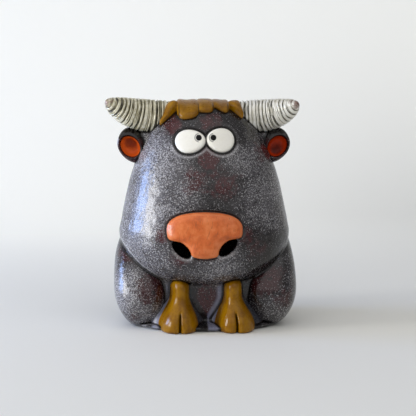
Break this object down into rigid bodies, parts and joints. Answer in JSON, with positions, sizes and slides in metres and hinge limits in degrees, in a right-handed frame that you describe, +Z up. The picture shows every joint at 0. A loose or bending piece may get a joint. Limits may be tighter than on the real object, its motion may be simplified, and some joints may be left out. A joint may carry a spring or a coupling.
{
  "type": "ceramic incense burner",
  "caption": "Hollow cartoon bull that stands as a cover over a cone dish, with smoke holes through its nostrils.",
  "frame": {"origin": "centre of the whole footprint's bounding box, on the table", "axes": "+X to the viewer's right, -Y the front with the face, +Z up; left and right in names are as the viewer in front sees them"},
  "size_m": [0.1018, 0.0876, 0.1198],
  "materials": {
    "speckled_glaze": "glossy charcoal glaze with fine pale speckles and maroon patches",
    "maroon_glaze": "glossy charcoal glaze over maroon",
    "terracotta": "satin terracotta",
    "ochre_glaze": "glossy ochre glaze",
    "white_glaze": "glossy cream white glaze",
    "black_glaze": "glossy black glaze",
    "silver_glaze": "ivory and silver glaze, dark in the grooves",
    "orange_glaze": "glossy orange red glaze",
    "bare_clay": "matt unglazed clay",
    "incense": "matt pressed incense powder"
  },
  "bodies": {
    "dish": {"burner_dish": "bare_clay"},
    "cone": {"incense_cone": "incense"},
    "figure": {"body_shell": "speckled_glaze", "muzzle_pad": "terracotta", "eye_left": "white_glaze", "eye_right": "white_glaze", "pupil_left": "black_glaze", "pupil_right": "black_glaze", "horn_left": "silver_glaze", "horn_right": "silver_glaze", "ear_left": "speckled_glaze", "ear_right": "speckled_glaze", "ear_lining_left": "orange_glaze", "ear_lining_right": "orange_glaze", "forelock_1": "ochre_glaze", "forelock_2": "ochre_glaze", "forelock_3": "ochre_glaze", "forelock_4": "ochre_glaze", "forelock_5": "ochre_glaze", "foreleg_left": "ochre_glaze", "foreleg_right": "ochre_glaze", "haunch_left": "maroon_glaze", "haunch_right": "maroon_glaze", "tail": "speckled_glaze", "tail_tuft": "ochre_glaze"}
  },
  "joints": [
    {"name": "figure_lift", "type": "slide", "parent": "dish", "child": "figure", "axis": [0, 0, 1], "range_m": [0, 0.06]},
    {"name": "cone_lift", "type": "slide", "parent": "dish", "child": "cone", "axis": [0, 0, 1], "range_m": [0, 0.04]}
  ]
}
